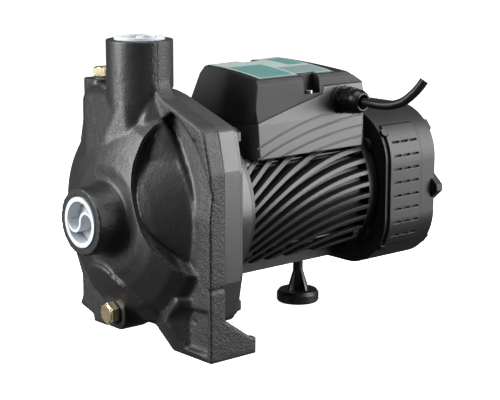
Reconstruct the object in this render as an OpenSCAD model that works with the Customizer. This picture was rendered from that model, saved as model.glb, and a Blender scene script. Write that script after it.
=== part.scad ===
// Close-coupled single-phase centrifugal water pump.
// X runs along the shaft, with the suction port at the low end and the fan at the high end.
// Z is up. The origin is on the base plane, midway between the two foot holes.
// The modules are drawn with x = 0 at the discharge axis; in_frame() moves them to the origin.

/* [Pump casing] */
// Height of the shaft above the base plane
shaft_height = 112; // [110:0.5:114]
// Distance of the suction face in front of the discharge axis
suction_reach = 64; // [62:0.5:68]
// Height of the discharge face above the shaft
discharge_rise = 149; // [147:0.5:152]
// Outer radius of both port bosses
port_boss_radius = 28.5; // [27.5:0.1:29]
// Radius of the threaded wall in both ports, G1 1/4
port_thread_radius = 19.475; // [19.3:0.025:19.6]
// Half of the casing's width over the feet
casing_half_width = 100; // [99:0.5:103]
// Distance from the pump's middle plane to each foot hole
foot_hole_offset = 76; // [74:0.5:78]
// Distance of the foot holes behind the discharge axis
foot_hole_x = 27; // [26:0.5:29]
// Radius of the foot holes
foot_hole_radius = 5.5; // [4.5:0.25:6]

/* [Wet end] */
// Outer radius of the impeller
impeller_radius = 58; // [55:0.5:59]
// Number of impeller vanes
impeller_vanes = 6; // [5:1:7]

/* [Motor] */
// Radius of the motor barrel between the fins
barrel_radius = 60; // [59.5:0.1:60.5]
// Radius over the fin tips
fin_tip_radius = 70; // [68:0.5:71]
// Thickness of one cooling fin
fin_thickness = 3.6; // [3:0.1:4.4]
// Spacing of the cooling fins, measured upright
fin_pitch = 10.5; // [10:0.1:11.5]
// Stack length of the stator and rotor laminations
core_length = 80; // [70:1:82]
// Number of blades on the cooling fan
fan_blades = 9; // [7:1:11]

/* [Terminal box and cable] */
// Wall thickness of the moulded terminal box
box_wall = 3; // [2.6:0.1:3.2]
// Diameter of the power cable
cable_diameter = 8; // [7.6:0.1:8.4]

/* [Support foot] */
// Radius of the support foot's disc
foot_disc_radius = 20; // [18:0.5:22]

/* [Hidden] */
$fn = 64;

suction_face = -suction_reach;
discharge_face = shaft_height + discharge_rise;
casing_front = -6;
casing_back = 11;
bracket_back = 33;
lantern_back = 62;
bolt_y = 80;
bolt_z = 72;
frame_back = 215;
core_front = 92;
cover_front = 219;
cover_back = 285;
seam_start = 186;
box_front = 75;
box_end = 211;
box_near = -62;
box_far = 58;
far_slant = 7;
skirt_bottom = 156;
pad_top = 173;
gland_x = 181;
gland_z = 199.8;
foot_x = 183;
rail_bottom = 46;
priming_y = 53;
priming_top = shaft_height + 112;
drain_z = 28;
plug_flats = 17;
tie_y = 50;
tie_z = 38;
ear_y = 54;
ear_z = 41;
ear_turn = atan2(ear_y, ear_z);
ear_angles = [ear_turn, 180 - ear_turn, 180 + ear_turn, 360 - ear_turn];
screw_x = 144.5;
far_screw_x = 135;

// Route of the power cable, from inside the terminal box to its cut end.
cable_route = [
    [181, -48, 199.8], [181, -66, 199.8], [181, -78, 199.8], [181, -86, 199.8], [181, -92, 199.7],
    [181.3, -99, 199.4], [182.3, -107, 199.2], [184, -115.5, 199.8], [186, -124, 202],
    [188, -130.5, 205.5], [191, -136, 211], [194, -140, 216.5], [197.5, -143, 223]
];

cast_black = [0.13, 0.13, 0.14];
satin_grey = [0.22, 0.22, 0.23];
plastic_black = [0.08, 0.08, 0.09];
brass = [0.78, 0.62, 0.34];
steel = [0.66, 0.67, 0.69];
dark_steel = [0.32, 0.33, 0.35];
white_plastic = [0.92, 0.93, 0.94];
copper = [0.72, 0.42, 0.24];
rubber = [0.05, 0.05, 0.05];

// ---- Shared building shapes ----

// Moves a finished part from the discharge axis to the origin between the foot holes.
module in_frame() {
    translate([-foot_hole_x, 0, 0]) children();
}

// Lays children drawn along Z down along the shaft, starting at x.
module on_shaft(x = 0) {
    translate([x, 0, shaft_height]) rotate([0, 90, 0]) children();
}

// Solid disc on the shaft axis.
module disc(x0, x1, radius) {
    on_shaft(x0) cylinder(h = x1 - x0, r = radius);
}

// Ring on the shaft axis.
module ring(x0, x1, outer, inner) {
    difference() {
        disc(x0, x1, outer);
        disc(x0 - 1, x1 + 1, inner);
    }
}

// Turned body on the shaft axis; each point is [radius, x].
module turned(profile) {
    on_shaft(0) rotate_extrude($fn = 96) polygon(profile);
}

// Extrudes an outline drawn in (y, z) from the shaft centre, from x0 to x1.
module slab(x0, x1) {
    translate([x0, 0, shaft_height]) rotate([90, 0, 90]) linear_extrude(x1 - x0) children();
}

// Extrudes an outline drawn in (x, z) across the pump, from y0 to y1.
module across(y0, y1) {
    translate([0, y1, 0]) rotate([90, 0, 0]) linear_extrude(y1 - y0) children();
}

module block(low, high) {
    translate(low) cube(high - low);
}

// Hexagon across flats.
module hexagon(flats) {
    circle(r = flats / 2 / cos(30), $fn = 6);
}

// Puts four copies of children, drawn along Z, on a rectangle about the shaft, starting at x.
module at_corners(x, y, z) {
    for (side = [-1, 1], level = [-1, 1])
        translate([x, side * y, shaft_height + level * z]) rotate([0, 90, 0]) children();
}

module at_bolts(x) {
    at_corners(x, bolt_y, bolt_z) children();
}

module rounded_square(width, height, radius) {
    square([width, height - 2 * radius], center = true);
    square([width - 2 * radius, height], center = true);
    for (side = [-1, 1], level = [-1, 1])
        translate([side * (width / 2 - radius), level * (height / 2 - radius)]) circle(radius);
}

// ---- Pump casing ----

// Shield outline of the bolted flange: a big round with four bolt corners.
module shield(round_radius, corner_radius, half_width) {
    intersection() {
        hull() {
            circle(round_radius, $fn = 48);
            for (side = [-1, 1], level = [-1, 1])
                translate([side * bolt_y, level * bolt_z]) circle(corner_radius, $fn = 32);
        }
        square([2 * half_width, 4 * round_radius], center = true);
    }
}

module casing_flange() {
    difference() {
        slab(casing_front, casing_back) shield(108.5, 13, casing_half_width);
        block([-20, -120, -10], [20, 120, 17]);
        // the upper far corner is thinner and follows the volute
        slab(-20, 4) difference() {
            translate([20, 0]) square(100);
            circle(97);
        }
        flange_pocket();
    }
}

// One foot on the near side: front plate, pad and outer gusset.
module casing_foot() {
    side = -casing_half_width;
    front_plate = [[side, 60], [side, 4], [side + 4, 0], [-48.5, 0], [-25, 17], [-25, 60]];
    gusset = [[casing_front, 0], [casing_front, 34], [12, 34], [39, 15], [44, 15], [44, 0]];
    difference() {
        union() {
            translate([casing_front, 0, 0]) rotate([90, 0, 90])
                linear_extrude(casing_back - casing_front) polygon(front_plate);
            block([casing_back - 1, side, 0], [44, -52, 11]);
            across(side, side + 8) polygon(gusset);
        }
        translate([foot_hole_x, -foot_hole_offset, -1]) cylinder(h = 20, r = foot_hole_radius);
        translate([foot_hole_x, -foot_hole_offset, 9]) cylinder(h = 20, r = 11);
    }
}

// Solid with a corner at each of the points.
module wedge(points) {
    hull() for (point = points) translate(point) cube(0.4, center = true);
}

// Rib that runs from the volute down to the toe of the near foot, proud of the flange.
module foot_rib() {
    wedge([[-5, -77, 50], [-5, -70, 25], [-5, -25, 17], [-5, -30, 64], [-16, -68, 50], [-17, -51, 26]]);
    wedge([[-5, -70, 27], [-5, -98, 2], [-5, -94, 0.2], [-5, -49, 0.2], [-5, -25, 17],
        [-17, -51, 28], [-14, -53, 20], [-7, -88, 4]]);
}

// Hollow in the front of the near foot, behind the rib's ridge.
module foot_pocket() {
    wedge([[-20, -52, 31], [-20, -66, 46], [-20, -97, 47], [-20, -97, 6], [-20, -60, 6],
        [-3, -70, 30], [-3, -74, 41], [-3, -96, 43], [-3, -96, 8], [-3, -72, 8]]);
}

// Everything outside the narrower outline of the far foot.
module far_foot_trim(inset) {
    translate([-20, -inset, 0]) rotate([90, 0, 90]) {
        linear_extrude(34) polygon([[69, -1], [69, 6], [90.5, 12], [130, 12], [130, -1]]);
        linear_extrude(80) polygon([[88, -1], [90.5, 12], [86, 21], [86, 40], [100, 67], [130, 67], [130, -1]]);
    }
}

// Recess round the near side of the volute, deepest at the neck and running out below.
module flange_pocket() {
    intersection() {
        slab(-20, 4) intersection() {
            difference() {
                circle(105, $fn = 96);
                circle(80, $fn = 96);
            }
            polygon([[-27, 79], [-52, 94], [-110, 130], [-110, -10], [-27, -10]]);
        }
        across(-110, -25) polygon([[-20, 122], [-6, 122], [4, 190], [4, 225], [-20, 225]]);
    }
}

module casing_dome() {
    // side of the volute seen beside the flange
    turned([[0, casing_back], [80, casing_back], [80, 0], [78, -6], [54, -29], [47, -34], [0, -35]]);
    // swelling of the volute, below and on the far side
    volute_swelling(0);
    // shoulder between the volute, the neck and the priming column
    intersection() {
        hull() {
            translate([-14, -6, shaft_height + 95]) sphere(14, $fn = 32);
            translate([-12, 44, shaft_height + 93]) sphere(14, $fn = 32);
            translate([-14, -11, shaft_height + 58]) sphere(14, $fn = 32);
            translate([-12, 24, shaft_height + 30]) sphere(26, $fn = 32);
        }
        block([-60, -60, 0], [casing_back, 90, 300]);
    }
    // leaf on the near side, running up to a tip in front of the neck
    hull() {
        translate([-8, -24.5, shaft_height + 100.5]) sphere(3, $fn = 32);
        translate([-12, -25, shaft_height + 82]) sphere(6, $fn = 32);
        translate([-2, -33, shaft_height + 73]) sphere(7, $fn = 32);
        translate([-11, -31, shaft_height + 54]) sphere(10.5, $fn = 32);
        translate([0, -50, shaft_height + 51]) sphere(9.5, $fn = 32);
    }
}

// Larger turned body, raised forwards by proud, kept outside the round edge of the near side.
module volute_swelling(proud) {
    intersection() {
        translate([-proud, 0, 0]) turned([[0, casing_back], [93, casing_back], [93, -7], [89, -14], [79, -24],
            [60, -34], [46, -38], [0, -39]]);
        slab(-50, casing_back) difference() {
            square(260, center = true);
            translate([-151, 53]) circle(115.5, $fn = 96);
        }
    }
}

module discharge_neck() {
    translate([0, 0, shaft_height + 107]) cylinder(h = discharge_rise - 107, r = port_boss_radius);
    // lower neck, cut off flush with the bracket face
    intersection() {
        translate([0, 0, shaft_height + 30]) cylinder(h = 80, r = port_boss_radius);
        block([-60, -60, 0], [casing_back, 60, 300]);
    }
    // fillets from the neck down to the flange
    slab(casing_front, casing_back)
        polygon([[-28, 114], [-31, 108], [-37, 102], [-48, 98], [0, 80], [48, 98], [37, 102], [31, 108], [28, 114]]);
}

module priming_column() {
    translate([-3, priming_y - 1, 150]) linear_extrude(priming_top - 150) rounded_square(26, 24, 5);
}

// Boss for the drain plug, on a raised arch at the foot of the volute.
module drain_boss() {
    slab(-31, -5) translate([0, drain_z - shaft_height]) rounded_square(29, 29, 9);
    intersection() {
        volute_swelling(3);
        slab(-50, -5) {
            translate([10, -73]) circle(31);
            polygon([[-1, -44], [-20, -55], [-47, -84], [-47, -105], [40, -105], [40, -73]]);
        }
    }
}

module casing_cavity() {
    // inlet passage to the impeller eye
    disc(suction_face + 18, -10, 17.5);
    // chamber around the impeller
    turned([[0, -17], [57, -17], [61, -13], [61, casing_back + 1], [0, casing_back + 1]]);
    on_shaft(-13) translate([4, 7, 0]) cylinder(h = 20, r = 64);
    // spigot recess that centres the bracket
    disc(7.5, casing_back + 1, 85);
    // passage up to the discharge
    translate([-6, 0, shaft_height + 55]) cylinder(h = discharge_rise - 76, r = 13);
    translate([0, 0, discharge_face - 30]) cylinder(h = 14, r = 17.5);
}

// Threaded port with a shallow counterbore and a relief groove, opening along +Z from z = 0.
module port_bore() {
    translate([0, 0, -24]) cylinder(h = 25, r = port_thread_radius);
    translate([0, 0, -13.5]) cylinder(h = 1.5, r = port_thread_radius + 0.9);
    translate([0, 0, -3]) cylinder(h = 4, r = 21.8);
}

module pump_casing() {
    color(cast_black) in_frame() difference() {
        union() {
            casing_flange();
            casing_foot();
            mirror([0, 1, 0]) casing_foot();
            casing_dome();
            foot_rib();
            discharge_neck();
            priming_column();
            drain_boss();
            turned([[0, suction_face], [28.5, suction_face], [29.5, -48], [31, -40], [36, -36], [36, -30], [0, -30]]);
        }
        block([-60, -24, -20], [-5, 45, 12]);
        far_foot_trim(0);
        foot_pocket();
        casing_cavity();
        translate([0, 0, discharge_face]) port_bore();
        translate([suction_face, 0, shaft_height]) rotate([0, -90, 0]) port_bore();
        translate([0, priming_y, priming_top - 13]) cylinder(h = 20, r = 5.8);
        translate([0, priming_y, priming_top - 62]) cylinder(h = 50, r = 4.5);
        translate([-32, 0, drain_z]) rotate([0, 90, 0]) cylinder(h = 14, r = 5.8);
        translate([-20, 0, drain_z]) rotate([0, 90, 0]) cylinder(h = 11, r = 4);
        block([-14, -4, drain_z - 2], [-9, 4, 48]);
        at_bolts(4.5) cylinder(h = 20, r = 3.4);
        // centre marks left by the drill
        for (mark = [[-4, -76, 31], [-7, -79.5, 183.5]]) translate(mark) rotate([0, 90, 0]) cylinder(h = 3.5, r = 2);
    }
}

module casing_o_ring() {
    color(rubber) in_frame() on_shaft(9.2) rotate_extrude($fn = 96) translate([83.3, 0]) circle(1.6);
}

// ---- Motor bracket and fasteners ----

// Machined ring with a lantern neck that carries the front bearing.
module motor_bracket() {
    bearing_radius = 20;
    color(satin_grey) in_frame() difference() {
        union() {
            slab(casing_back, 28) shield(106, 12, 98);
            slab(28, bracket_back) shield(102, 9, 95);
            ring(bracket_back - 1, lantern_back, 74, 68);
            disc(7.7, casing_back + 1, 81.6);
            turned([[0, casing_back], [30, casing_back], [30, 34], [26, 40], [26, 60], [0, 60]]);
            for (turn = [0:60:300])
                on_shaft(18) rotate([0, 0, turn]) block([22, -3, 0], [70, 3, 32]);
        }
        block([0, -120, -10], [bracket_back + 1, 120, 18.5]);
        far_foot_trim(1);
        ring(19, bracket_back + 1, 68, 30);
        // seal chamber, seat bore, slinger space, bearing bore and shaft hole
        disc(5, 22, 17);
        disc(5, 29.5, 14);
        disc(29, 60.5, 10.5);
        disc(33, 43, 17);
        disc(46, 61, bearing_radius);
        at_bolts(casing_back - 1) cylinder(h = 30, r = 4.2);
        at_corners(50, tie_y, tie_z) cylinder(h = 14, r = 2.1);
    }
}

module hex_bolt(head_flats, head_height, shank_radius, shank_length) {
    linear_extrude(head_height) hexagon(head_flats);
    translate([0, 0, -shank_length]) cylinder(h = shank_length + 1, r = shank_radius);
}

module casing_bolts() {
    color(steel) in_frame() at_bolts(bracket_back) {
        hex_bolt(13, 5.3, 3.35, 27.8);
    }
}

// ---- Plugs and port caps ----

// Hex plug drawn point down: head above z = 0, thread below.
module hex_plug() {
    translate([0, 0, 1.5]) {
        linear_extrude(6.5) hexagon(plug_flats);
        translate([0, 0, 6.4]) cylinder(h = 1.1, r = 7.4);
    }
    translate([0, 0, -9]) cylinder(h = 11, r = 5.75);
}

module plug_washer() {
    difference() {
        cylinder(h = 1.5, r = 8.8);
        translate([0, 0, -1]) cylinder(h = 4, r = 5.85);
    }
}

module at_priming() {
    translate([0, priming_y, priming_top]) children();
}

module at_drain() {
    translate([-31, 0, drain_z]) rotate([0, -90, 0]) children();
}

module priming_plug() {
    color(brass) in_frame() at_priming() hex_plug();
}

module priming_plug_washer() {
    color(rubber) in_frame() at_priming() plug_washer();
}

module drain_plug() {
    color(brass) in_frame() at_drain() hex_plug();
}

module drain_plug_washer() {
    color(rubber) in_frame() at_drain() plug_washer();
}

// Transit cap: a shallow cup with an S-shaped web to pull it by.
module port_cap(proud) {
    difference() {
        union() {
            translate([0, 0, -2.9]) cylinder(h = 2.9 + proud, r = 21.5);
            translate([0, 0, -12]) cylinder(h = 10, r = 19.3);
        }
        translate([0, 0, -10.5]) cylinder(h = 20, r = 17.6);
    }
    // two half rings make the S
    for (side = [-1, 1])
        translate([side * 8.9, 0, -11]) linear_extrude(11 + proud - 0.6) intersection() {
            difference() {
                circle(10.1);
                circle(7.7);
            }
            translate([0, side * 20]) square([50, 40], center = true);
        }
}

module suction_cap() {
    color(white_plastic) in_frame() translate([suction_face, 0, shaft_height]) rotate([0, -90, 0]) rotate([0, 0, 90]) port_cap(1);
}

module discharge_cap() {
    color(white_plastic) in_frame() translate([0, 0, discharge_face]) port_cap(2);
}

// ---- Impeller, seal and shaft ----

// Vane: a slice of a round ring, swept back from the eye to the rim.
module vane() {
    linear_extrude(10.5) intersection() {
        translate([0, 38]) difference() {
            circle(40);
            circle(37.6);
        }
        translate([0, -70]) square([70, 140]);
        difference() {
            circle(impeller_radius - 0.5);
            circle(20);
        }
    }
}

module impeller() {
    color(brass) in_frame() difference() {
        union() {
            disc(1, 4, impeller_radius);
            disc(-12, 5.5, 12);
            ring(-11.5, -9, impeller_radius, 17);
            ring(-15.5, -10, 21, 17);
            on_shaft(-9.2) for (i = [0:impeller_vanes - 1]) rotate([0, 0, i * 360 / impeller_vanes]) vane();
        }
        disc(-20, 10, 6.5);
        block([-20, -2, shaft_height], [10, 2, shaft_height + 8.3]);
    }
}

module impeller_key() {
    color(steel) in_frame() block([-10, -1.95, shaft_height + 4.1], [4, 1.95, shaft_height + 8.1]);
}

module impeller_nut() {
    color(brass) in_frame() difference() {
        on_shaft(-19) linear_extrude(7) hexagon(15);
        disc(-25, -5, 4.1);
    }
}

// Rotating half of the mechanical seal.
module seal_head() {
    color(dark_steel) in_frame() {
        ring(17, 22, 13, 8.05);
        ring(5.5, 7, 13, 8.05);
    }
}

module seal_spring() {
    coils = 5;
    color(steel) in_frame() for (i = [0:coils - 1])
        on_shaft(8 + i * 2) rotate_extrude() translate([11, 0]) circle(0.9);
}

module seal_seat() {
    color(white_plastic) in_frame() ring(22, 29.4, 13.9, 8.6);
}

// Stepped shaft with a key slot and a flat for the fan.
module shaft() {
    color(steel) in_frame() difference() {
        turned([[0, -23], [4, -23], [4, -12], [6.4, -12], [6.4, 5.5], [8, 5.5], [8, 45], [8.5, 45], [8.5, 59],
                [11, 59], [11, 205], [7.5, 205], [7.5, 218], [7, 218], [7, 258], [0, 258]]);
        block([-13, -2, shaft_height + 4], [5.5, 2, shaft_height + 8]);
        block([228, -8, shaft_height + 5.6], [259, 8, shaft_height + 9]);
    }
}

module rotor_core() {
    color(dark_steel) in_frame() difference() {
        union() {
            disc(core_front, core_front + core_length, 33);
            disc(core_front - 10, core_front + core_length + 10, 30);
        }
        disc(60, 210, 11.05);
    }
}

module water_slinger() {
    color(rubber) in_frame() {
        ring(35, 37, 15, 8.02);
        ring(37, 40, 11, 8.02);
    }
}

// ---- Bearings ----

module bearing_outer(x, width, outer, inner, pitch) {
    on_shaft(x) difference() {
        cylinder(h = width, r = outer);
        translate([0, 0, -1]) cylinder(h = width + 2, r = inner);
        translate([0, 0, width / 2]) rotate_extrude() translate([pitch, 0]) circle(3.4);
    }
}

module bearing_inner(x, width, outer, inner, pitch) {
    bearing_outer(x, width, outer, inner, pitch);
}

module bearing_balls(x, width, pitch, count) {
    on_shaft(x + width / 2) {
        for (i = [0:count - 1]) rotate([0, 0, i * 360 / count]) translate([pitch, 0, 0]) sphere(3.35, $fn = 32);
        for (side = [-1, 1]) translate([0, 0, side * 2.6 - 0.4]) difference() {
            cylinder(h = 0.8, r = pitch + 1.2);
            translate([0, 0, -1]) cylinder(h = 3, r = pitch - 1.2);
        }
    }
}

module front_bearing_outer() {
    color(steel) in_frame() bearing_outer(46, 12, 19.98, 16.6, 14.3);
}

module front_bearing_inner() {
    color(steel) in_frame() bearing_inner(46, 12, 12, 8.5, 14.3);
}

module front_bearing_balls() {
    color(steel) in_frame() bearing_balls(46, 12, 14.3, 8);
}

module rear_bearing_outer() {
    color(steel) in_frame() bearing_outer(206, 11, 17.48, 15, 12.5);
}

module rear_bearing_inner() {
    color(steel) in_frame() bearing_inner(206, 11, 10.2, 7.5, 12.5);
}

module rear_bearing_balls() {
    color(steel) in_frame() bearing_balls(206, 11, 12.5, 7);
}

module wave_washer() {
    color(steel) in_frame() ring(217, 217.9, 17.2, 13);
}

// ---- Motor ----

// Cooling fin: a slice of a large round ring, drawn in (x, z); top is its height at the rear.
module fin(top) {
    sweep_radius = 270;
    translate([222, top - sweep_radius]) difference() {
        circle(sweep_radius, $fn = 200);
        circle(sweep_radius - fin_thickness, $fn = 200);
    }
}

module fin_pack() {
    intersection() {
        disc(68, 208, fin_tip_radius);
        block([68, -80, 62], [208, 80, 155]);
        union() for (i = [0:13]) across(-80, 80) fin(70 + i * fin_pitch);
    }
}

module motor_frame() {
    color(satin_grey) in_frame() difference() {
        union() {
            disc(lantern_back, frame_back, barrel_radius);
            disc(lantern_back, 67, 72);
            disc(209, frame_back, 68);
            fin_pack();
            // bottom rail and top pad
            block([lantern_back, -25, rail_bottom], [212, 25, 56]);
            block([82, -32, 160], [202, 32, pad_top]);
            // lugs round the tie bolts
            for (x = [70, 201]) at_corners(x, tie_y, tie_z) cylinder(h = 7, r = 6.5);
        }
        disc(50, 220, 55.2);
        disc(209, 220, 57);
        // tie bolt holes, wider between the lugs
        at_corners(50, tie_y, tie_z) cylinder(h = 180, r = 2.6);
        at_corners(78, tie_y, tie_z) translate([-5, -5, 0]) cube([10, 10, 122]);
        // wire passage up to the terminal box
        translate([185, 10, 150]) cylinder(h = 40, r = 9);
        translate([foot_x, 0, 40]) cylinder(h = 13, r = 2.5);
        for (x = [92, 152], y = [-24, 24]) translate([x, y, 163]) cylinder(h = 20, r = 1.6);
    }
}

module stator_core() {
    slots = 24;
    color(dark_steel) in_frame() difference() {
        disc(core_front, core_front + core_length, 55.1);
        disc(80, 190, 33.5);
        on_shaft(80) for (i = [0:slots - 1]) rotate([0, 0, i * 360 / slots])
            translate([36, -1.8, 0]) cube([9, 3.6, 110]);
    }
}

module stator_windings() {
    color(copper) in_frame() {
        turned([[37, 74], [48, 74], [51, 78], [51, 91.9], [36, 91.9], [36, 76]]);
        turned([[36, 172.1], [51, 172.1], [51, 186], [48, 190], [37, 190], [36, 188]]);
    }
}

// Rear end shield with the bearing housing and four ears for the tie bolts and fan cover.
module rear_end_shield() {
    color(satin_grey) in_frame() difference() {
        union() {
            disc(frame_back, 220, 68);
            ring(209.1, frame_back + 1, 56.9, 50);
            disc(203, 224, 24);
            for (turn = [0:60:300])
                on_shaft(207) rotate([0, 0, turn]) block([20, -2.5, 0], [52, 2.5, 9]);
            at_corners(frame_back, ear_y, ear_z) cylinder(h = 12, r = 7);
        }
        disc(200, 218, 17.5);
        disc(200, 230, 9);
        at_corners(200, tie_y, tie_z) cylinder(h = 40, r = 2.6);
        for (turn = ear_angles) on_shaft(223) rotate([0, 0, turn]) translate([65.3, 0, 0]) rotate([0, 90, 0])
            cylinder(h = 20, r = 1.7);
    }
}

module tie_bolts() {
    color(steel) in_frame() at_corners(0, tie_y, tie_z) {
        translate([0, 0, 53]) cylinder(h = 175, r = 2.05);
        translate([0, 0, 227]) linear_extrude(3.5) hexagon(8);
    }
}

// ---- Cooling fan and its cover ----

module cooling_fan() {
    color(plastic_black) in_frame() difference() {
        union() {
            disc(232, 234, 62);
            disc(229, 250, 13);
            for (i = [0:fan_blades - 1])
                on_shaft(233) rotate([0, 0, i * 360 / fan_blades]) block([10, -1, 0], [62, 1, 16]);
        }
        intersection() {
            disc(220, 260, 7.03);
            block([220, -10, 90], [260, 10, shaft_height + 5.57]);
        }
    }
}

module fan_clip() {
    color(steel) in_frame() ring(250, 251.2, 10, 7.02);
}

// Outline of the fan cover, grown outwards by grow.
module cover_outline(grow) {
    rounded_square(2 * (79 + grow), 2 * (73.5 + grow), 48 + grow);
}

module back_grille() {
    slab(cover_back - 5, cover_back + 1) difference() {
        for (radius = [18:9:54]) difference() {
            circle(radius + 4);
            circle(radius);
        }
        for (turn = [0:45:135]) rotate(turn) square([130, 7], center = true);
    }
}

// Raised panel on the near side of the fan cover, with rows of short slots.
module side_panel() {
    difference() {
        intersection() {
            slab(223, 264) cover_outline(2.5);
            block([220, -90, shaft_height - 50], [270, -50, shaft_height + 60]);
        }
        slab(222, 265) cover_outline(-2);
        for (row = [-4:3], dash = [0:2])
            block([228 + dash * 11.5, -90, shaft_height + 7 + row * 12.5],
                  [237.5 + dash * 11.5, -55, shaft_height + 8.6 + row * 12.5]);
    }
}

module side_bump() {
    slab(281, 289) polygon([[-76, 9], [-86, 0], [-86, -6], [-76, -15]]);
}

module corner_bump() {
    slab(281, 289) rotate(40) polygon([[70, -9], [87, -5], [87, 5], [70, 9]]);
}

module fan_cover() {
    color(satin_grey) in_frame() difference() {
        union() {
            slab(cover_front, cover_back) cover_outline(0);
            side_panel();
            mirror([0, 1, 0]) side_panel();
            side_bump();
            mirror([0, 1, 0]) side_bump();
            for (side = [0, 1], level = [0, 1])
                translate([0, 0, shaft_height]) mirror([0, side, 0]) mirror([0, 0, level])
                    translate([0, 0, -shaft_height]) corner_bump();
        }
        difference() {
            slab(cover_front + 2.5, cover_back - 3) cover_outline(-3);
            // posts that reach in to the end shield's ears
            for (turn = ear_angles) on_shaft(223) rotate([0, 0, turn]) translate([75.2, 0, 0])
                rotate([0, 90, 0]) cylinder(h = 20, r = 4);
        }
        for (turn = ear_angles) on_shaft(223) rotate([0, 0, turn]) translate([60, 0, 0])
            rotate([0, 90, 0]) cylinder(h = 40, r = 2.2);
        // mouth, with a lip that leaves a narrow gap round the motor
        disc(cover_front - 1, cover_front + 3, 70.5);
        at_corners(cover_front - 1, ear_y, ear_z) cylinder(h = 4, r = 8.2);
        // seats for the screw heads
        for (turn = ear_angles) on_shaft(223) rotate([0, 0, turn]) translate([88.5, 0, 0])
            rotate([0, 90, 0]) cylinder(h = 20, r = 4.2);
        back_grille();
    }
}

module fan_cover_screws() {
    color(steel) in_frame() for (turn = ear_angles) on_shaft(223) rotate([0, 0, turn]) {
        translate([65.5, 0, 0]) rotate([0, 90, 0]) cylinder(h = 23.5, r = 1.65);
        translate([88.6, 0, 0]) rotate([0, 90, 0]) cylinder(h = 2.4, r = 3.8);
    }
}

// ---- Terminal box ----

// Height of the joint line between base and cover at x; it steps up over the gland.
function seam_z(x) =
    let (t = x - box_front)
    x < 158 ? seam_start + 0.27 * t - 0.0003 * t * t : 213;

seam_line = [for (x = [70:8:150]) [x, seam_z(x)], [157, seam_z(157)], [159, 213], [220, 213]];

function crown_z(y, inset) = 231 - inset - (y - 25) * (y - 25) / 937;

// Whole outside of the terminal box, with every face moved in by inset.
module box_body(inset) {
    crown = [for (y = [-55 + inset:13:23]) [y, crown_z(y, inset)]];
    intersection() {
        across(-75, 75) polygon([[box_front + inset, 150], [box_front + inset, seam_start],
            [84 + inset, 234 - inset], [174 - inset, 234 - inset], [207 - inset, 214 - inset],
            [box_end - inset, 180], [box_end - inset, 150]]);
        translate([60, 0, 0]) rotate([90, 0, 90]) linear_extrude(170) polygon(concat(
            [[box_near + inset, 150], [box_near + 1 + inset, seam_start], [-57.5 + inset, 220 - inset]],
            crown, [[80, 229 - inset], [80, 150]]));
        // the far side slopes, and runs at a slant to the shaft
        translate([box_end, 0, 0]) rotate([90, 0, -90 + far_slant]) translate([0, 0, -20]) linear_extrude(200)
            polygon([[100, 150], [100, 240], [-31 + inset, 240], [-31 + inset, 230.9 - inset],
                [-37 + inset, 224], [-46 + inset, 199], [-box_far + inset, 172], [-box_far + inset, 150]]);
        translate([(box_front + box_end) / 2, (box_near + box_far) / 2, 140]) linear_extrude(110)
            rounded_square(box_end - box_front - 2 * inset, box_far - box_near - 2 * inset, 9 - inset);
    }
}

module below_seam(shift = 0) {
    translate([0, 0, shift]) across(-80, 80) polygon(concat(seam_line, [[220, 140], [70, 140]]));
}

module screw_post(x, y, from_z, to_z) {
    block([x - 11, y - 8.5, from_z], [x + 11, y + 8.5, to_z]);
}

module skirt_grooves() {
    sweep_radius = 380;
    across(box_near - 1, box_near + 1.4) for (top = [165:9.8:196]) translate([222, top - sweep_radius])
        difference() {
            circle(sweep_radius, $fn = 200);
            circle(sweep_radius - 1.5, $fn = 200);
        }
}

module terminal_base() {
    color(plastic_black) in_frame() difference() {
        union() {
            intersection() {
                below_seam();
                block([60, -80, skirt_bottom], [230, 80, 240]);
                union() {
                    difference() {
                        box_body(0);
                        box_body(box_wall);
                    }
                    intersection() {
                        box_body(0.5);
                        union() {
                            block([60, -80, pad_top], [230, 80, pad_top + 3]);
                            screw_post(screw_x, -53.5, pad_top, 240);
                            screw_post(far_screw_x, 25, pad_top, 240);
                        }
                    }
                }
            }
            // flat seat for the cable gland
            across(-62.5, -56) translate([gland_x, gland_z]) intersection() {
                circle(14);
                square([40, 22.8], center = true);
            }
        }
        disc(60, 230, 60.3);
        disc(208.6, 230, 68.3);
        at_corners(60, tie_y, tie_z) cylinder(h = 160, r = 6.9);
        skirt_grooves();
        across(-80, -40) translate([gland_x, gland_z]) circle(10.1);
        translate([185, 10, 160]) cylinder(h = 30, r = 8);
        for (x = [92, 152], y = [-24, 24]) translate([x, y, 160]) cylinder(h = 30, r = 2.2);
        translate([screw_x, -54.5, 185]) cylinder(h = 30, r = 1.6);
        translate([far_screw_x, 22, 185]) cylinder(h = 30, r = 1.6);
        translate([104, -24, 160]) cylinder(h = 30, r = 2.2);
    }
}

module terminal_base_screws() {
    color(steel) in_frame() for (x = [92, 152], y = [-24, 24]) translate([x, y, 0]) {
        translate([0, 0, 165]) cylinder(h = 12, r = 1.55);
        translate([0, 0, 176]) cylinder(h = 2.6, r = 3.8);
    }
}

// Band that the gasket fills, between inner and outer faces of the wall.
module gasket_band() {
    intersection() {
        difference() {
            box_body(0.9);
            box_body(2.1);
        }
        difference() {
            below_seam(1.2);
            below_seam();
        }
    }
}

module terminal_gasket() {
    color(rubber) in_frame() gasket_band();
}

module notches() {
    block([screw_x - 9, -80, 208], [screw_x + 9, -49, 240]);
    block([far_screw_x - 9, 14, 214], [far_screw_x + 9, 60, 240]);
}

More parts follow.
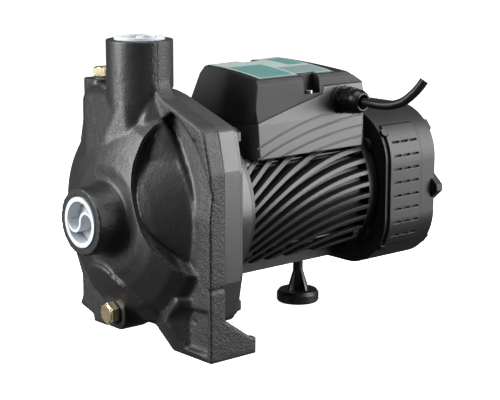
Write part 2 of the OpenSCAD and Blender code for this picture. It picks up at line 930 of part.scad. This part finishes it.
module terminal_cover() {
    color(plastic_black) in_frame() difference() {
        union() {
            difference() {
                box_body(0);
                box_body(box_wall);
            }
            intersection() {
                box_body(0.5);
                union() {
                    block([screw_x - 11, -70, seam_start], [screw_x + 11, -46, 240]);
                    block([far_screw_x - 12, 11, seam_start], [far_screw_x + 12, 60, 240]);
                }
            }
        }
        below_seam();
        gasket_band();
        notches();
        translate([screw_x, -54.5, 180]) cylinder(h = 60, r = 2.2);
        translate([far_screw_x, 22, 180]) cylinder(h = 60, r = 2.2);
    }
}

module terminal_cover_screws() {
    color(steel) in_frame() {
        translate([screw_x, -54.5, 190]) cylinder(h = 19, r = 1.55);
        translate([screw_x, -54.5, 208]) cylinder(h = 2.4, r = 3.6);
        translate([far_screw_x, 22, 190]) cylinder(h = 25, r = 1.55);
        translate([far_screw_x, 22, 214]) cylinder(h = 2.4, r = 3.6);
    }
}

// Blank plate stuck on the crowned top.
module rating_label() {
    color([0.75, 0.8, 0.8]) in_frame() intersection() {
        difference() {
            box_body(-0.4);
            box_body(0);
        }
        difference() {
            block([87, -53, 218], [176, 22, 240]);
            block([screw_x - 11, -80, 200], [screw_x + 11, -47, 240]);
            block([far_screw_x - 11, 12, 200], [far_screw_x + 11, 60, 240]);
        }
    }
}

module terminal_block() {
    color(white_plastic) in_frame() difference() {
        block([159, -38, 176], [193, -16, 190]);
        for (i = [0:2]) translate([166 + 10 * i, -27, 184]) cylinder(h = 10, r = 3.2);
    }
}

module terminal_screws() {
    color(brass) in_frame() for (i = [0:2]) translate([166 + 10 * i, -27, 184]) cylinder(h = 3, r = 3);
}

module capacitor() {
    color(dark_steel) in_frame() {
        translate([92, -4, 194]) rotate([0, 90, 0]) cylinder(h = 62, r = 14);
        for (side = [-5, 5]) translate([153.5, side - 4, 194]) rotate([0, 90, 0]) cylinder(h = 6, r = 1.2);
    }
}

module earth_screw() {
    color(brass) in_frame() translate([104, -24, 0]) {
        translate([0, 0, 174]) cylinder(h = 3, r = 2.15);
        translate([0, 0, 176]) cylinder(h = 3, r = 4.2);
    }
}

// ---- Cable gland and cable ----

// Lays children drawn along Z outwards along the gland's axis, from y.
module on_gland(y) {
    translate([gland_x, y, gland_z]) rotate([90, 0, 0]) children();
}

module gland_body() {
    color(plastic_black) in_frame() difference() {
        union() {
            on_gland(-50) cylinder(h = 14, r = 9.9);
            on_gland(-62.5) cylinder(h = 2.5, r = 12.8);
            on_gland(-65) linear_extrude(3) hexagon(22);
            on_gland(-67.5) cylinder(h = 7, r = 9.2);
        }
        on_gland(-40) cylinder(h = 50, r = 5);
        on_gland(-69.5) cylinder(h = 20, r = 7.4);
    }
}

module gland_seal() {
    color(rubber) in_frame() difference() {
        on_gland(-69.7) cylinder(h = 7, r = 7.3);
        on_gland(-68) cylinder(h = 20, r = 4.06);
    }
}

module gland_nut() {
    color(plastic_black) in_frame() difference() {
        union() {
            on_gland(-68.2) linear_extrude(7) difference() {
                circle(11.9);
                for (turn = [0:20:340]) rotate(turn) translate([11.2, -0.7]) square([2, 1.4]);
            }
            on_gland(-75) cylinder(h = 3.5, r = 11);
            on_gland(-78.5) rotate_extrude() polygon([[0, 0], [11, 0], [10.6, 3.3], [9.2, 6.6], [7.8, 8], [0, 8]]);
        }
        on_gland(-68) cylinder(h = 9, r = 9.3);
        on_gland(-68) cylinder(h = 40, r = 5);
        on_gland(-83) rotate_extrude() polygon([[0, 0], [5, 0], [7, 4], [0, 4]]);
    }
}

module gland_locknut() {
    color(plastic_black) in_frame() difference() {
        on_gland(-49.5) linear_extrude(4.4) hexagon(24);
        on_gland(-40) cylinder(h = 40, r = 9.95);
    }
}

function spline(a, b, c, d, t) = 0.5 * (2 * b + (c - a) * t + (2 * a - 5 * b + 4 * c - d) * t * t
    + (3 * b - a - 3 * c + d) * t * t * t);

function unit(v) = v / norm(v);

// Smooth tube through the route's points, with one ring of sides corners at each step.
module swept_tube(route, radius, sides, steps) {
    last = len(route) - 1;
    at = function (i) route[max(0, min(last, i))];
    centres = [for (i = [0:last - 1], k = [0:steps - 1])
        spline(at(i - 1), at(i), at(i + 1), at(i + 2), k / steps), route[last]];
    count = len(centres);
    rings = [for (i = [0:count - 1])
        let (
            along = unit(centres[min(count - 1, i + 1)] - centres[max(0, i - 1)]),
            across = unit(cross(along, [0.02, 0.03, 1])),
            up = cross(across, along)
        )
        for (k = [0:sides - 1]) centres[i] + radius * (cos(k * 360 / sides) * across + sin(k * 360 / sides) * up)];
    polyhedron(rings, concat(
        [[for (k = [0:sides - 1]) k]],
        [for (i = [0:count - 2], k = [0:sides - 1])
            let (a = i * sides + k, b = i * sides + (k + 1) % sides) [a, a + sides, b + sides, b]],
        [[for (k = [sides - 1:-1:0]) (count - 1) * sides + k]]));
}

module power_cable() {
    color(plastic_black) in_frame() swept_tube(cable_route, cable_diameter / 2, 10, 2);
}

// ---- Support foot ----

module support_foot() {
    color(plastic_black) in_frame() difference() {
        union() {
            translate([foot_x, 0, 0]) rotate_extrude() polygon([[0, 0], [foot_disc_radius - 1, 0],
                [foot_disc_radius, 1.5], [foot_disc_radius, 8], [foot_disc_radius - 2, 11], [0, 12]]);
            translate([foot_x, 0, 10]) cylinder(h = rail_bottom - 10, r = 4.8);
            for (turn = [0, 90]) translate([foot_x, 0, 10]) rotate([90, 0, turn]) linear_extrude(2.4, center = true)
                polygon([[-13, 0], [13, 0], [4.5, 22], [-4.5, 22]]);
        }
        translate([foot_x, 0, -1]) cylinder(h = 60, r = 2.7);
        translate([foot_x, 0, -1]) cylinder(h = 7, r = 5);
    }
}

module support_foot_screw() {
    color(steel) in_frame() translate([foot_x, 0, 0]) {
        translate([0, 0, 2.5]) cylinder(h = 3.5, r = 4.6);
        translate([0, 0, 5]) cylinder(h = 47.5, r = 2.45);
    }
}

pump_casing();
casing_o_ring();
motor_bracket();
casing_bolts();
priming_plug();
priming_plug_washer();
drain_plug();
drain_plug_washer();
suction_cap();
discharge_cap();
impeller();
impeller_key();
impeller_nut();
seal_head();
seal_spring();
seal_seat();
shaft();
rotor_core();
water_slinger();
front_bearing_outer();
front_bearing_inner();
front_bearing_balls();
rear_bearing_outer();
rear_bearing_inner();
rear_bearing_balls();
wave_washer();
motor_frame();
stator_core();
stator_windings();
rear_end_shield();
tie_bolts();
cooling_fan();
fan_clip();
fan_cover();
fan_cover_screws();
terminal_base();
terminal_base_screws();
terminal_gasket();
terminal_cover();
terminal_cover_screws();
rating_label();
terminal_block();
terminal_screws();
capacitor();
earth_screw();
gland_body();
gland_seal();
gland_nut();
gland_locknut();
power_cable();
support_foot();
support_foot_screw();
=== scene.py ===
import math
import bmesh
import bpy
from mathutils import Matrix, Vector


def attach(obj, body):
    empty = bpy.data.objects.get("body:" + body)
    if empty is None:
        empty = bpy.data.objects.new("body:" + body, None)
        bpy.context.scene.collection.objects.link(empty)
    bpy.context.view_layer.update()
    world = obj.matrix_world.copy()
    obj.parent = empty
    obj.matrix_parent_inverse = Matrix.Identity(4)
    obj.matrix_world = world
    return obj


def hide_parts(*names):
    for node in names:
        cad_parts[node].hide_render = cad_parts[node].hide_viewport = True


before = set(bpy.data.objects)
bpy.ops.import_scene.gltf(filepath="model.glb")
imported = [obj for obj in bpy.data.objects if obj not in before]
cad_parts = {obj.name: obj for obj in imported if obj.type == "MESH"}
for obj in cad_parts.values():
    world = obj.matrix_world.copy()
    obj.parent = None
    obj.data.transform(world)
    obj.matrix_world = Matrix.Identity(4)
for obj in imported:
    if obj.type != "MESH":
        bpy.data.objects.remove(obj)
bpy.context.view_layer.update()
MM = 0.001
SHAFT_HEIGHT = 112 * MM
PORT_X = -27 * MM

# ---- Camera ----
# A long lens at a three-quarter view of the suction side, a little above the pump.

aim = Vector((95.75 * MM, 0, 105.7 * MM))
camera_distance = 1.3245
camera_turn = math.radians(-40.72)
camera_rise = math.radians(11.74)
lens = bpy.data.cameras.new("pump_camera")
lens.lens = 103.97
lens.sensor_width = 36
camera = bpy.data.objects.new("pump_camera", lens)
bpy.context.scene.collection.objects.link(camera)
camera.location = aim + camera_distance * Vector((
    math.sin(camera_turn) * math.cos(camera_rise),
    -math.cos(camera_turn) * math.cos(camera_rise),
    math.sin(camera_rise)))
camera.rotation_euler = (aim - camera.location).to_track_quat("-Z", "Y").to_euler()
bpy.context.scene.camera = camera


# ---- Power cable ----
# A round three-core cable in a black rubber sheath, cut off square a hand's breadth from
# the box. It is stiff enough to stand up from the gland by itself.


class Field:
    """A number, colour or vector that varies over a surface; sums on it add Math nodes."""

    def __init__(self, finish, socket):
        self.finish = finish
        self.socket = socket

    def combine(self, operation, first, second):
        return self.finish.node("ShaderNodeMath", {"operation": operation}, {0: first, 1: second})

    def __add__(self, other):
        return self.combine("ADD", self, other)

    def __sub__(self, other):
        return self.combine("SUBTRACT", self, other)

    def __rsub__(self, other):
        return self.combine("SUBTRACT", other, self)

    def __mul__(self, other):
        return self.combine("MULTIPLY", self, other)

    def __pow__(self, other):
        return self.combine("POWER", self, other)

    __radd__ = __add__
    __rmul__ = __mul__


class Finish:
    """One finish of the pump, as a material on a single main shader."""

    def __init__(self, name, metallic=0.0, coat=0.0, specular=0.5):
        self.material = bpy.data.materials.new(name)
        self.material.use_nodes = True
        self.tree = self.material.node_tree
        self.shader = self.tree.nodes["Principled BSDF"]
        self.shader.inputs["Metallic"].default_value = metallic
        self.shader.inputs["Coat Weight"].default_value = coat
        self.shader.inputs["Specular IOR Level"].default_value = specular
        self.place = self.node("ShaderNodeTexCoord", output="Object")
        self.x, self.y, self.z = (
            self.node("ShaderNodeSeparateXYZ", inputs={0: self.place}, output=axis)
            for axis in range(3))

    def node(self, kind, settings=None, inputs=None, output=0):
        made = self.tree.nodes.new(kind)
        for name, value in (settings or {}).items():
            setattr(made, name, value)
        for name, value in (inputs or {}).items():
            if isinstance(value, Field):
                self.tree.links.new(value.socket, made.inputs[name])
            else:
                made.inputs[name].default_value = value
        return Field(self, made.outputs[output])

    def noise(self, size, detail=2.0):
        return self.node("ShaderNodeTexNoise", inputs={
            "Vector": self.place, "Scale": 1 / size, "Detail": detail})

    def rise(self, value, low, high):
        return self.node("ShaderNodeMapRange", {"interpolation_type": "SMOOTHSTEP"},
                         {0: value, 1: low, 2: high})

    def mix(self, factor, first, second):
        return self.node("ShaderNodeMix", {"data_type": "RGBA"},
                         {0: factor, 6: (*first, 1) if isinstance(first, tuple) else first,
                          7: (*second, 1) if isinstance(second, tuple) else second}, output=2)

    def soft_edges(self, radius):
        return self.node("ShaderNodeBevel", {"samples": 6}, {"Radius": radius})

    def bump(self, height, depth, normal=None):
        inputs = {"Height": height, "Distance": depth, "Strength": 1.0}
        if normal is not None:
            inputs["Normal"] = normal
        return self.node("ShaderNodeBump", inputs=inputs)

    def from_shaft(self):
        up = self.z - SHAFT_HEIGHT
        return (self.y * self.y + up * up) ** 0.5

    def surface(self, colour, roughness, normal):
        for name, value in (("Base Color", colour), ("Roughness", roughness), ("Normal", normal)):
            self.tree.links.new(value.socket, self.shader.inputs[name])
        return self.material


def moulded(name, dark, light, roughness, grain, depth, edge, specular=0.5):
    finish = Finish(name, specular=specular)
    cloud = finish.noise(25 * MM, 3)
    fine = finish.noise(grain)
    colour = finish.mix(cloud * 0.6 + fine * 0.4, dark, light)
    gloss = roughness - 0.06 + cloud * 0.08 + fine * 0.05
    return finish.surface(colour, gloss, finish.bump(fine, depth, finish.soft_edges(edge)))


def tube_points(route, steps):
    """Points of one smooth curve through the route."""
    last = len(route) - 1
    points = []
    for i in range(last):
        a, b, c, d = (route[max(0, min(last, i + k))] for k in (-1, 0, 1, 2))
        for step in range(steps):
            t = step / steps
            points.append(0.5 * (2 * b + (c - a) * t + (2 * a - 5 * b + 4 * c - d) * t * t
                                 + (3 * b - a - 3 * c + d) * t * t * t))
    points.append(route[last])
    return points


cable_diameter = 8 * MM
cable_route = [Vector(point) * MM for point in (
    (154, -86, 199.8), (154, -92, 199.7), (154.3, -99, 199.4), (155.3, -107, 199.2),
    (157, -115.5, 199.8), (159, -124, 202), (161, -130.5, 205.5), (164, -136, 211),
    (167, -140, 216.5), (170.5, -143, 223))]
steps_per_span = 4
cable_points = tube_points(cable_route, steps_per_span)
cable_line = bpy.data.curves.new("power_cable_sheath", "CURVE")
cable_line.dimensions = "3D"
cable_line.bevel_depth = cable_diameter / 2
cable_line.bevel_resolution = 6
cable_line.use_fill_caps = True
cable_spline = cable_line.splines.new("POLY")
cable_spline.points.add(len(cable_points) - 1)
for knot, point in zip(cable_spline.points, cable_points):
    knot.co = (*point, 1)
cable = bpy.data.objects.new("power_cable_sheath", cable_line)
bpy.context.scene.collection.objects.link(cable)
cable_line.materials.append(moulded(
    "cable_sheath", (0.003, 0.003, 0.0032), (0.008, 0.008, 0.0085), 0.4, 0.5 * MM, 0.03 * MM,
    0.2 * MM, specular=0.3))
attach(cable, "pump")
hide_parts("power_cable")
cable_length = sum((b - a).length for a, b in zip(cable_points, cable_points[1:]))


# ---- Cable gland ----
# A threaded body, a clamping nut and a locknut in glossy black nylon, with a rubber seal
# that the nut squeezes onto the cable.


def dress(material, *nodes):
    """Gives the carried-over solids of these nodes their finish."""
    for name in nodes:
        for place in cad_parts[name].material_slots:
            place.material = material


dress(moulded("gland_nylon", (0.002, 0.002, 0.0022), (0.005, 0.005, 0.0055), 0.3, 0.8 * MM, 0.02 * MM,
              0.6 * MM, specular=0.32), "gland_body", "gland_nut", "gland_locknut")
dress(moulded("black_rubber", (0.015, 0.015, 0.015), (0.04, 0.04, 0.04), 0.7, 0.6 * MM, 0.04 * MM,
              0.3 * MM), "gland_seal", "casing_o_ring", "terminal_gasket", "water_slinger")


# ---- Pump casing ----
# One sand casting in grey iron, dipped in black primer: dome, volute, neck, both port
# bosses, priming column, flange and feet. Its edges are round and its skin is grainy; only
# the ports are machined.


def as_cast(node, name, voxel, rounds, machined):
    """A copy of a node with mould-rounded edges, except where machined(point) is true."""
    weld_distance = 0.002 * MM
    most_triangles = 190000
    wanted_triangles = 185000
    shape = bmesh.new()
    shape.from_mesh(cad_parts[node].data)
    bmesh.ops.remove_doubles(shape, verts=shape.verts, dist=weld_distance)
    mesh = bpy.data.meshes.new(name)
    shape.to_mesh(mesh)
    shape.free()
    piece = bpy.data.objects.new(name, mesh)
    bpy.context.scene.collection.objects.link(piece)
    remesh = piece.modifiers.new("mould skin", "REMESH")
    remesh.mode = "VOXEL"
    remesh.voxel_size = voxel
    graph = bpy.context.evaluated_depsgraph_get()
    skin = bpy.data.meshes.new_from_object(piece.evaluated_get(graph))
    piece.modifiers.clear()
    shape = bmesh.new()
    shape.from_mesh(skin)
    rounded = [v for v in shape.verts if not machined(v.co)]
    for _ in range(rounds):
        bmesh.ops.smooth_vert(shape, verts=rounded, factor=0.5,
                              use_axis_x=True, use_axis_y=True, use_axis_z=True)
    for face in shape.faces:
        face.smooth = True
    shape.to_mesh(skin)
    shape.free()
    skin.name = name
    piece.data = skin
    triangles = sum(len(face.vertices) - 2 for face in skin.polygons)
    if triangles > most_triangles:
        thin = piece.modifiers.new("lighter mesh", "DECIMATE")
        thin.ratio = wanted_triangles / triangles
        graph = bpy.context.evaluated_depsgraph_get()
        piece.data = bpy.data.meshes.new_from_object(piece.evaluated_get(graph))
        piece.modifiers.clear()
    return piece


def in_port(point):
    """True on the bores, faces and outer rims of the two ports."""
    bore_reach = 26.5 * MM
    rim_reach = 30 * MM
    discharge_depth = 236 * MM
    discharge_rim = 257 * MM
    suction_depth = -66 * MM
    suction_rim = -87 * MM
    off_discharge = math.hypot(point.x - PORT_X, point.y)
    off_suction = math.hypot(point.y, point.z - SHAFT_HEIGHT)
    near_discharge = rim_reach if point.z > discharge_rim else bore_reach
    near_suction = rim_reach if point.x < suction_rim else bore_reach
    on_discharge = point.z > discharge_depth and off_discharge < near_discharge
    on_suction = point.x < suction_depth and off_suction < near_suction
    return on_discharge or on_suction


casing = as_cast("pump_casing", "casing_casting", voxel=1.4 * MM, rounds=3, machined=in_port)


def casting_finish():
    finish = Finish("black_iron_casting")
    satin = finish.noise(1.5 * MM, 2)
    sand = finish.noise(1.6 * MM, 4)
    lumps = finish.noise(11 * MM, 2)
    # the flange, its rim and the feet come out of the sand rougher than the dome
    behind_dome = finish.rise(finish.x, -38 * MM, -33 * MM)
    rim = behind_dome * finish.rise(finish.from_shaft(), 82 * MM, 90 * MM)
    low = finish.rise(finish.z, 62 * MM, 40 * MM) * behind_dome
    rough = finish.node("ShaderNodeMath", {"operation": "MAXIMUM"}, {0: rim, 1: low})
    # seam left by the two halves of the mould, up both sides of the neck
    off_seam = finish.x - (PORT_X - 3 * MM)
    seam = 1 - finish.rise(off_seam * off_seam, (0.3 * MM) ** 2, (0.9 * MM) ** 2)
    seam = seam * finish.rise(finish.z, 208 * MM, 216 * MM)
    # groove round the leaf of the volute, an arc struck from beyond the near side
    arc_y, arc_z, arc_radius = -151 * MM, 165 * MM, 115.5 * MM
    across = finish.y - arc_y
    up = finish.z - arc_z
    off_arc = (across * across + up * up) ** 0.5 - arc_radius
    groove = 1 - finish.rise(off_arc * off_arc, (0.5 * MM) ** 2, (1.7 * MM) ** 2)
    groove = groove * (1 - finish.rise(finish.x, -45 * MM, -36 * MM))
    height = satin * 0.42 + sand * (rough * 1.2) + lumps - seam * 0.9 - groove * 2.6
    colour = finish.mix(sand * 0.5 + lumps * 0.5, (0.008, 0.008, 0.0085), (0.021, 0.021, 0.022))
    # painted shade in the crease: the groove round the leaf is painted near-black; the mould seam is
    # painted darker too
    colour = finish.mix(groove * 0.8 + seam * 0.6, colour, (0.004, 0.004, 0.004))
    gloss = 0.37 + satin * 0.12 + rough * 0.06
    return finish.surface(colour, gloss, finish.bump(height, 0.5 * MM))


casing.data.materials.clear()
casing.data.materials.append(casting_finish())
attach(casing, "pump")
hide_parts("pump_casing")


# ---- Motor bracket and casing bolts ----
# A second iron casting, turned smooth where it meets the casing and painted dark satin grey;
# four blackened bolts pull it against the casing's flange. The tie bolts and the fan cover's
# screws are blackened too, and the terminal box and foot screws are zinc plated.


def painted(name, dark, light, roughness, orange_peel, edge):
    finish = Finish(name)
    cloud = finish.noise(18 * MM, 3)
    peel = finish.noise(1.6 * MM, 2)
    colour = finish.mix(cloud * 0.7 + peel * 0.3, dark, light)
    gloss = roughness + cloud * 0.1
    return finish.surface(colour, gloss, finish.bump(peel, orange_peel, finish.soft_edges(edge)))


def metal(name, dark, light, roughness, scratch_depth, edge=0.4 * MM):
    finish = Finish(name, metallic=1.0)
    cloud = finish.noise(6 * MM, 3)
    scratch = finish.noise(0.4 * MM, 3)
    colour = finish.mix(cloud * 0.5 + scratch * 0.5, dark, light)
    gloss = roughness - 0.05 + cloud * 0.14
    return finish.surface(colour, gloss, finish.bump(scratch, scratch_depth, finish.soft_edges(edge)))


dress(painted("bracket_paint", (0.03, 0.03, 0.031), (0.045, 0.045, 0.047), 0.3, 0.08 * MM, 1.2 * MM),
      "motor_bracket")
dress(metal("zinc_plate", (0.42, 0.42, 0.42), (0.6, 0.6, 0.58), 0.32, 0.02 * MM),
      "terminal_base_screws", "terminal_cover_screws", "support_foot_screw")
dress(metal("black_oxide", (0.03, 0.03, 0.032), (0.07, 0.07, 0.075), 0.36, 0.02 * MM),
      "casing_bolts", "tie_bolts", "fan_cover_screws")


# ---- Priming and drain plugs ----
# Two hexagon-headed plugs turned from brass bar, each on a black fibre washer.

dress(metal("brass_bar", (0.74, 0.6, 0.34), (0.93, 0.8, 0.55), 0.3, 0.03 * MM, 0.7 * MM),
      "priming_plug", "drain_plug", "terminal_screws", "earth_screw", "impeller_nut")
dress(moulded("fibre_washer", (0.03, 0.03, 0.03), (0.07, 0.07, 0.07), 0.8, 0.5 * MM, 0.05 * MM,
              0.2 * MM), "priming_plug_washer", "drain_plug_washer")


# ---- Port caps ----
# Soft white polythene cups pushed into the ports for transit, with an S-shaped web to pull.

dress(moulded("white_polythene", (0.48, 0.51, 0.54), (0.6, 0.63, 0.66), 0.42, 2.5 * MM, 0.05 * MM,
              0.5 * MM, specular=0.25), "suction_cap", "discharge_cap")


# ---- Impeller ----
# A closed impeller cast in brass, with swept vanes between two plates, keyed to the shaft.


def cast_brass():
    finish = Finish("impeller_brass", metallic=1.0)
    sand = finish.noise(0.9 * MM, 3)
    stain = finish.noise(14 * MM, 3)
    colour = finish.mix(stain, (0.5, 0.34, 0.15), (0.76, 0.57, 0.28))
    gloss = 0.36 + sand * 0.2
    return finish.surface(colour, gloss, finish.bump(sand, 0.12 * MM, finish.soft_edges(0.5 * MM)))


dress(cast_brass(), "impeller")
dress(metal("ground_steel", (0.55, 0.55, 0.56), (0.74, 0.74, 0.75), 0.24, 0.015 * MM),
      "impeller_key", "shaft", "fan_clip")


# ---- Shaft seal ----
# A spring-loaded carbon ring on the shaft runs against a white ceramic seat in the bracket.

dress(metal("seal_steel", (0.5, 0.5, 0.52), (0.7, 0.7, 0.72), 0.2, 0.01 * MM, 0.2 * MM), "seal_spring")
dress(moulded("carbon_ring", (0.03, 0.03, 0.032), (0.07, 0.07, 0.074), 0.35, 0.5 * MM, 0.01 * MM,
              0.2 * MM), "seal_head")
dress(moulded("white_ceramic", (0.78, 0.77, 0.74), (0.88, 0.87, 0.84), 0.22, 1.5 * MM, 0.005 * MM,
              0.3 * MM), "seal_seat")


# ---- Bearings ----
# Two deep-groove ball bearings in polished steel, one each end of the shaft, with a spring
# washer behind the rear one.


def turned_steel():
    finish = Finish("bearing_steel", metallic=1.0)
    streak = finish.noise(1.2 * MM, 4)
    lathe_pitch = 0.4 * MM
    radius = finish.node("ShaderNodeCombineXYZ", inputs={0: finish.from_shaft()})
    lathe = finish.node("ShaderNodeTexNoise", inputs={"Vector": radius, "Scale": 1 / lathe_pitch})
    colour = finish.mix(streak, (0.6, 0.6, 0.61), (0.8, 0.8, 0.81))
    gloss = 0.12 + lathe * 0.14
    return finish.surface(colour, gloss, finish.bump(lathe, 0.01 * MM, finish.soft_edges(0.3 * MM)))


dress(turned_steel(), "front_bearing_outer", "front_bearing_inner", "front_bearing_balls",
      "rear_bearing_outer", "rear_bearing_inner", "rear_bearing_balls", "wave_washer")


# ---- Motor frame and end shield ----
# Die-cast aluminium: a barrel with swept cooling fins, a rail below and a pad above, and a
# ribbed shield that carries the rear bearing. Sprayed black, with painted shade between the
# fins and a painted highlight on the fin crests.


def motor_paint():
    finish = Finish("motor_paint", specular=0.36)
    cloud = finish.noise(14 * MM, 3)
    peel = finish.noise(1.2 * MM, 2)
    # painted shade and highlight: near-black in the troughs between the fins, paler on the crests, by
    # distance from the shaft
    painted_crest_light = finish.rise(finish.from_shaft(), 62 * MM, 70 * MM)
    colour = finish.mix(painted_crest_light * 0.75 + cloud * 0.25, (0.003, 0.003, 0.003), (0.026, 0.026, 0.027))
    gloss = 0.42 - painted_crest_light * 0.1 + cloud * 0.08
    return finish.surface(colour, gloss, finish.bump(peel, 0.06 * MM, finish.soft_edges(0.7 * MM)))


dress(motor_paint(), "motor_frame")
dress(painted("shield_paint", (0.012, 0.012, 0.0125), (0.024, 0.024, 0.025), 0.38, 0.08 * MM, 0.8 * MM),
      "rear_end_shield")


# ---- Stator and rotor ----
# Stacks of thin steel sheets pressed on the frame and the shaft, with varnished copper
# windings bound round both ends of the stator.


def sheet_stack():
    finish = Finish("steel_sheets", metallic=0.8)
    sheet_pitch = 1 * MM
    wave = finish.x * (2 * math.pi / sheet_pitch)
    edge = finish.node("ShaderNodeMath", {"operation": "SINE"}, {0: wave})
    stain = finish.noise(8 * MM, 3)
    colour = finish.mix(stain * 0.7 + edge * 0.1, (0.16, 0.16, 0.17), (0.34, 0.34, 0.36))
    return finish.surface(colour, 0.4 + stain * 0.15, finish.bump(edge, 0.08 * MM))


def wound_copper():
    finish = Finish("varnished_copper", metallic=0.7, coat=0.4)
    strand_pitch = 1.1 * MM
    wave = (finish.from_shaft() + finish.x * 0.4) * (2 * math.pi / strand_pitch)
    strand = finish.node("ShaderNodeMath", {"operation": "SINE"}, {0: wave})
    stain = finish.noise(7 * MM, 3)
    colour = finish.mix(stain, (0.3, 0.1, 0.035), (0.6, 0.26, 0.11))
    return finish.surface(colour, 0.28 + strand * 0.05, finish.bump(strand, 0.3 * MM))


dress(sheet_stack(), "stator_core", "rotor_core")
dress(wound_copper(), "stator_windings")


# ---- Cooling fan and cover ----
# The fan is moulded in black nylon and clipped to the shaft's tail. The cover is a moulded
# hood with a grille behind and rows of short shallow grooves on its side panels, held by
# four side screws.

dress(moulded("fan_nylon", (0.02, 0.02, 0.022), (0.035, 0.035, 0.038), 0.5, 1.0 * MM, 0.03 * MM,
              0.4 * MM), "cooling_fan")


def hood_plastic():
    finish = Finish("hood_plastic", specular=0.42)
    cloud = finish.noise(30 * MM, 3)
    spark = finish.noise(0.7 * MM, 1)
    colour = finish.mix(cloud * 0.6 + spark * 0.4, (0.007, 0.007, 0.0075), (0.015, 0.015, 0.016))
    gloss = 0.38 + spark * 0.14
    return finish.surface(colour, gloss, finish.bump(spark, 0.05 * MM, finish.soft_edges(1.4 * MM)))


dress(hood_plastic(), "fan_cover")


# ---- Terminal box ----
# A base screwed down on the motor's pad and a cover held by two screws in notches, both
# moulded in black plastic with a fine spark texture, and a gasket in the joint.

dress(moulded("box_base_plastic", (0.013, 0.013, 0.0135), (0.024, 0.024, 0.025), 0.36, 0.9 * MM, 0.06 * MM,
              0.9 * MM), "terminal_base")
dress(moulded("box_cover_plastic", (0.005, 0.005, 0.0055), (0.011, 0.011, 0.012), 0.5, 0.9 * MM,
              0.1 * MM, 2.0 * MM, specular=0.3), "terminal_cover")


# ---- Rating label ----
# A printed plate glued to the crown of the cover: pale green-grey, with blank teal fields, a
# duller block and a dark border, and no words.


def printed_plate():
    finish = Finish("rating_plate", specular=0.6)

    def side(operation, across, limit):
        return finish.node("ShaderNodeMath", {"operation": operation}, {0: across, 1: limit * MM})

    def field(low_x, high_x, low_y, high_y):
        between_ends = side("LESS_THAN", finish.x, high_x) * side("GREATER_THAN", finish.x, low_x)
        between_edges = side("LESS_THAN", finish.y, high_y) * side("GREATER_THAN", finish.y, low_y)
        return between_ends * between_edges

    wear = finish.noise(12 * MM, 3)
    grain = finish.noise(0.6 * MM)
    pale = finish.mix(wear, (0.25, 0.31, 0.3), (0.33, 0.38, 0.37))
    teal = finish.mix(wear, (0.07, 0.17, 0.16), (0.1, 0.22, 0.205))
    near_teal = field(64, 103, -50, -6)
    dull_block = field(106, 146, -50, -24)
    far_teal = field(126, 146, -18, 16)
    inside_border = field(61, 148, -52, 21)
    colour = finish.mix(near_teal, pale, teal)
    colour = finish.mix(dull_block, colour, (0.15, 0.21, 0.205))
    colour = finish.mix(far_teal, colour, teal)
    colour = finish.mix(inside_border, (0.012, 0.02, 0.02), colour)
    return finish.surface(colour, 0.35 + grain * 0.08, finish.bump(grain, 0.02 * MM))


dress(printed_plate(), "rating_label")


# ---- Parts inside the terminal box ----
# A white nylon terminal block with brass screws, the running capacitor in its can, and
# the earth screw.

dress(moulded("white_nylon", (0.74, 0.74, 0.7), (0.84, 0.84, 0.8), 0.4, 1.0 * MM, 0.03 * MM, 0.4 * MM),
      "terminal_block")
dress(moulded("capacitor_can", (0.03, 0.03, 0.033), (0.06, 0.06, 0.064), 0.4, 0.9 * MM, 0.03 * MM,
              0.8 * MM), "capacitor")


# ---- Support foot ----
# A ribbed disc foot moulded in black plastic, screwed up into the motor's rail.

dress(moulded("foot_plastic", (0.006, 0.006, 0.0065), (0.013, 0.013, 0.014), 0.36, 0.8 * MM, 0.03 * MM,
              0.8 * MM), "support_foot")


# ---- Floor and light ----
# A white sheet under the pump and soft boxes round it, as in a small product studio.

floor_reach = 12
floor_drop = 0.2 * MM
floor_shape = bmesh.new()
bmesh.ops.create_grid(floor_shape, x_segments=4, y_segments=4, size=floor_reach)
bmesh.ops.translate(floor_shape, verts=floor_shape.verts, vec=(0, 0, -floor_drop))
floor_mesh = bpy.data.meshes.new("studio_floor")
floor_shape.to_mesh(floor_mesh)
floor_shape.free()
floor = bpy.data.objects.new("studio_floor", floor_mesh)
bpy.context.scene.collection.objects.link(floor)
paper = Finish("white_paper", specular=0.1)
paper_tone = paper.mix(paper.noise(0.5), (0.88, 0.88, 0.88), (0.9, 0.9, 0.9))
paper_glow = 1.0
paper.shader.inputs["Emission Color"].default_value = (1, 1, 1, 1)
paper.shader.inputs["Emission Strength"].default_value = paper_glow
floor_mesh.materials.append(paper.surface(
    paper_tone, paper.noise(0.3) * 0.1 + 0.8, paper.bump(paper.noise(0.2), 0.0)))
floor.visible_glossy = False
floor.visible_diffuse = False

world_strength = 0.09
world = bpy.data.worlds.new("studio")
world.use_nodes = True
world.node_tree.nodes["Background"].inputs["Color"].default_value = (1, 1, 1, 1)
world.node_tree.nodes["Background"].inputs["Strength"].default_value = world_strength
bpy.context.scene.world = world


def soft_box(name, place, size, power):
    light = bpy.data.lights.new(name, "AREA")
    light.shape = "RECTANGLE"
    light.size = size[0]
    light.size_y = size[1]
    light.energy = power
    lamp = bpy.data.objects.new(name, light)
    bpy.context.scene.collection.objects.link(lamp)
    lamp.location = place
    lamp.rotation_euler = (aim - lamp.location).to_track_quat("-Z", "Y").to_euler()


soft_box("left_box", Vector((-1.07, 0.44, 0.55)), (0.5, 1.3), 34)
soft_box("right_box", Vector((0.92, -0.95, 0.5)), (0.85, 1.3), 36)
soft_box("top_box", Vector((0.1, -0.3, 1.7)), (1.4, 1.2), 24)
bpy.context.scene.view_settings.view_transform = "Standard"
